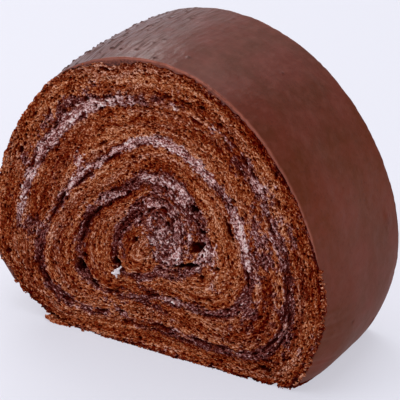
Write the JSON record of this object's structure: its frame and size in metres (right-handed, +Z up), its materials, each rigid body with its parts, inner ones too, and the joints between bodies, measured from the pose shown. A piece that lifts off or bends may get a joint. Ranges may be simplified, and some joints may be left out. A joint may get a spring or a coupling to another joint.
{
  "type": "swiss roll cake slice",
  "caption": "Thick slice of a chocolate sponge roll with a cream swirl and a thin chocolate coat, flat underneath, cut square at both ends.",
  "frame": {"origin": "on the table, under the middle of the slice", "axes": "+Z up; X across the roll, 101 mm, with the sheet's outer end at low x; Y along the roll, 40 mm, between the two cuts, with the shown cut at low y"},
  "size_m": [0.1012, 0.04, 0.0818],
  "materials": {
    "sponge": "open chocolate sponge crumb, matte, full of small pits",
    "cream": "thin chocolate cream soaked into the crumb, dull pinkish brown",
    "coat": "thin set chocolate, satin, faint spreading marks"
  },
  "bodies": {
    "root": {"sponge": "sponge", "cream": "cream", "chocolate_coat": "coat"}
  },
  "joints": []
}
